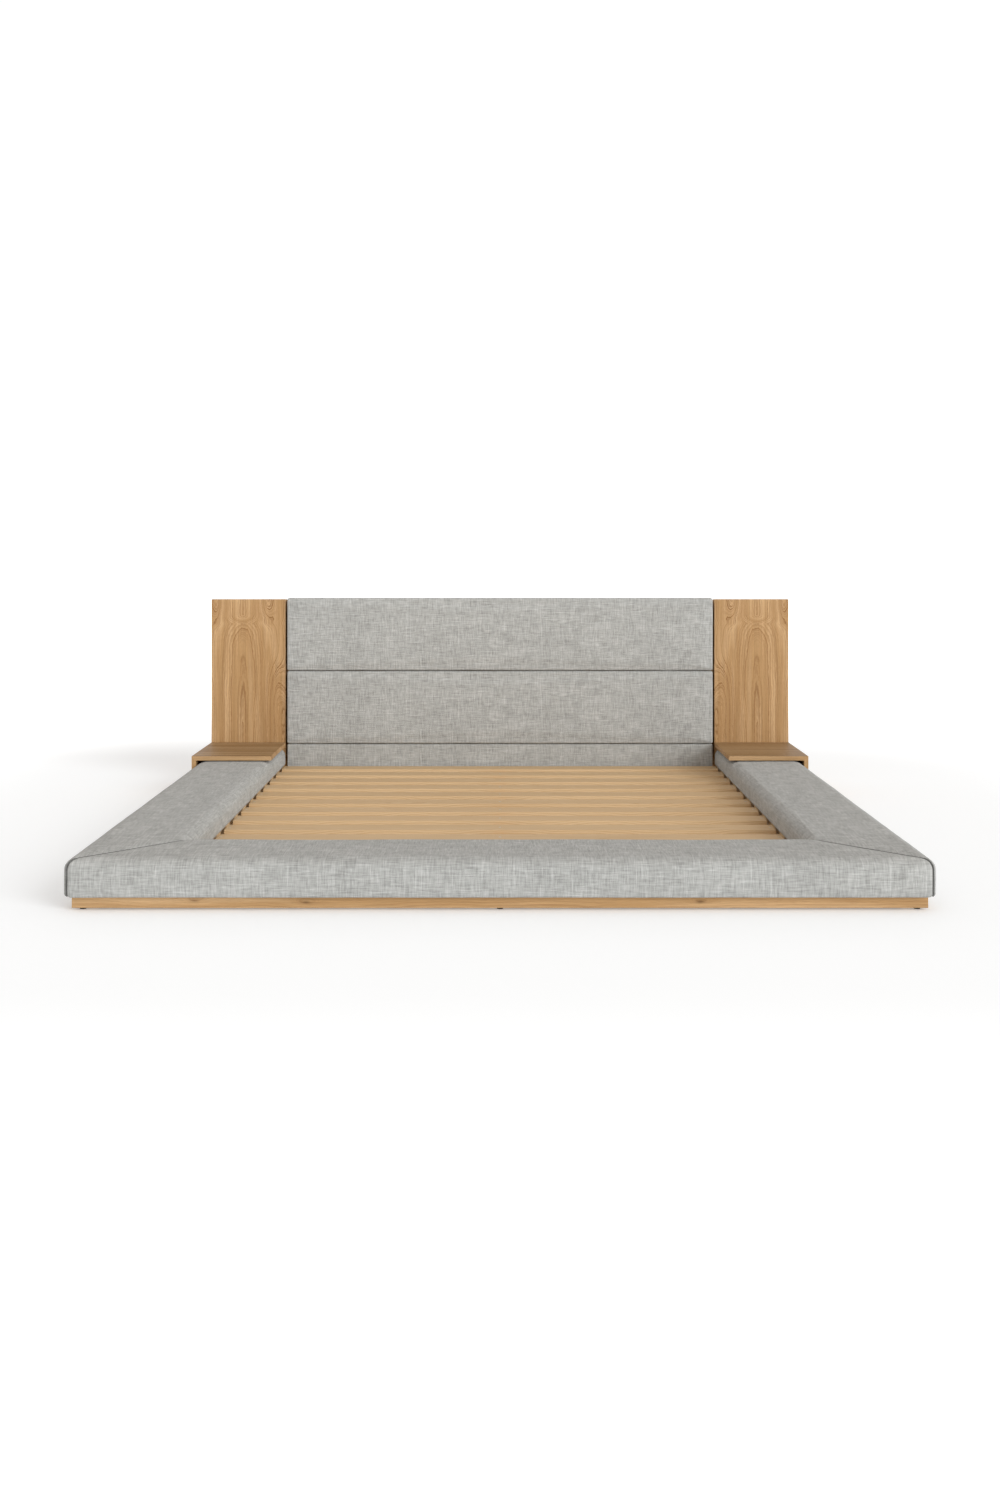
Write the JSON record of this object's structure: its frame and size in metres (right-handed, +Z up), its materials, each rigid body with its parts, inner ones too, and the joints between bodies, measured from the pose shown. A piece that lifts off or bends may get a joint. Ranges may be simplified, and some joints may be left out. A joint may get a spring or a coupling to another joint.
{
  "type": "bed frame",
  "caption": "Low platform bed frame: padded grey rails on a set-back oak plinth, cushioned headboard between oak wings, oak bedside shelves over the rails, slatted deck.",
  "frame": {"origin": "on the floor, in the middle of the bed's length and width", "axes": "+X across the bed, -Y to the foot end, +Y to the headboard, +Z up"},
  "size_m": [2.692, 2.48, 0.86],
  "materials": {
    "upholstery": "light warm grey linen-look weave",
    "oak": "oiled natural oak, satin",
    "plywood": "bare birch plywood",
    "pine": "planed softwood",
    "foam": "cream upholstery foam",
    "zinc": "zinc plated steel",
    "glide": "black moulded plastic",
    "foot": "black moulded glide on a steel stud"
  },
  "bodies": {
    "bed_frame": {"beam_brackets": "zinc", "center_beam": "pine", "connector_bolts": "zinc", "connector_nuts": "zinc", "foot_blocks": "pine", "foot_rail_carcass": "plywood", "foot_rail_cover": "upholstery", "foot_rail_foam": "foam", "headboard_apron": "upholstery", "headboard_lining": "oak", "headboard_panel": "plywood", "headboard_rails": "pine", "headboard_uprights": "pine", "left_headboard_end": "oak", "left_nightstand_shelf": "oak", "left_nightstand_side": "oak", "left_oak_wing": "oak", "left_plinth": "oak", "left_rail_carcass": "plywood", "left_rail_cover": "upholstery", "left_rail_foam": "foam", "left_slat_ledger": "pine", "lower_cushion_cover": "upholstery", "lower_cushion_foam": "foam", "nail_glides": "glide", "nightstand_screws": "zinc", "plinth_back": "oak", "plinth_front": "oak", "right_headboard_end": "oak", "right_nightstand_shelf": "oak", "right_nightstand_side": "oak", "right_oak_wing": "oak", "right_plinth": "oak", "right_rail_carcass": "plywood", "right_rail_cover": "upholstery", "right_rail_foam": "foam", "right_slat_ledger": "pine", "slat_01": "pine", "slat_02": "pine", "slat_03": "pine", "slat_04": "pine", "slat_05": "pine", "slat_06": "pine", "slat_07": "pine", "slat_08": "pine", "slat_09": "pine", "slat_10": "pine", "slat_11": "pine", "slat_12": "pine", "slat_screws": "zinc", "threaded_inserts": "zinc", "upper_cushion_cover": "upholstery", "upper_cushion_foam": "foam"},
    "foot_front_left": {"leveling_foot_front_left": "foot"},
    "foot_front_center": {"leveling_foot_front_center": "foot"},
    "foot_front_right": {"leveling_foot_front_right": "foot"},
    "foot_middle_left": {"leveling_foot_middle_left": "foot"},
    "foot_middle_center": {"leveling_foot_middle_center": "foot"},
    "foot_middle_right": {"leveling_foot_middle_right": "foot"},
    "foot_back_left": {"leveling_foot_back_left": "foot"},
    "foot_back_center": {"leveling_foot_back_center": "foot"},
    "foot_back_right": {"leveling_foot_back_right": "foot"}
  },
  "joints": [
    {"name": "front_left_foot_screws_out", "type": "slide", "parent": "bed_frame", "child": "foot_front_left", "axis": [0, 0, -1], "range_m": [0, 0.01]},
    {"name": "front_center_foot_screws_out", "type": "slide", "parent": "bed_frame", "child": "foot_front_center", "axis": [0, 0, -1], "range_m": [0, 0.01]},
    {"name": "front_right_foot_screws_out", "type": "slide", "parent": "bed_frame", "child": "foot_front_right", "axis": [0, 0, -1], "range_m": [0, 0.01]},
    {"name": "middle_left_foot_screws_out", "type": "slide", "parent": "bed_frame", "child": "foot_middle_left", "axis": [0, 0, -1], "range_m": [0, 0.01]},
    {"name": "middle_center_foot_screws_out", "type": "slide", "parent": "bed_frame", "child": "foot_middle_center", "axis": [0, 0, -1], "range_m": [0, 0.01]},
    {"name": "middle_right_foot_screws_out", "type": "slide", "parent": "bed_frame", "child": "foot_middle_right", "axis": [0, 0, -1], "range_m": [0, 0.01]},
    {"name": "back_left_foot_screws_out", "type": "slide", "parent": "bed_frame", "child": "foot_back_left", "axis": [0, 0, -1], "range_m": [0, 0.01]},
    {"name": "back_center_foot_screws_out", "type": "slide", "parent": "bed_frame", "child": "foot_back_center", "axis": [0, 0, -1], "range_m": [0, 0.01]},
    {"name": "back_right_foot_screws_out", "type": "slide", "parent": "bed_frame", "child": "foot_back_right", "axis": [0, 0, -1], "range_m": [0, 0.01]}
  ]
}
